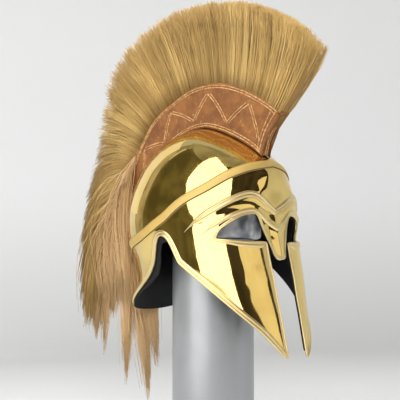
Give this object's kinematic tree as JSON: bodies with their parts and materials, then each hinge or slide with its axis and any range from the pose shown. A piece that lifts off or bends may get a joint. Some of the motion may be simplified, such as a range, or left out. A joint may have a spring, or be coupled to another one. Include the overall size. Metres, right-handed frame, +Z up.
{
  "type": "corinthian helmet on a plain display stand",
  "caption": "Polished brass helmet with a nose guard, long cheek pieces and a tooled leather crest box with a tall horsehair crest and tail, on a plain grey column.",
  "frame": {"origin": "centre of the stand's foot, on the surface it stands on", "axes": "+Z up along the stand's column; the helmet faces -Y; the wearer's left is +X"},
  "size_m": [0.1902, 0.4644, 0.6079],
  "materials": {
    "brass": "mirror-polished brass, clear and warm, with lighter worn edges",
    "lining": "matt black leather lining",
    "crest_leather": "reddish tan leather with tooled double lines in zigzags",
    "horsehair": "long straight blond horsehair",
    "stand_grey": "satin grey column"
  },
  "bodies": {
    "root": {"shell": "brass", "lining": "lining", "crest_side_right": "crest_leather", "crest_side_left": "crest_leather", "crest_hair_front": "horsehair", "crest_hair_top": "horsehair", "crest_hair_crown": "horsehair", "crest_hair_rear": "horsehair", "crest_hair_nape": "horsehair", "crest_hair_fall": "horsehair", "crest_tail": "horsehair", "stand_column": "stand_grey", "stand_cap": "stand_grey"}
  },
  "joints": []
}
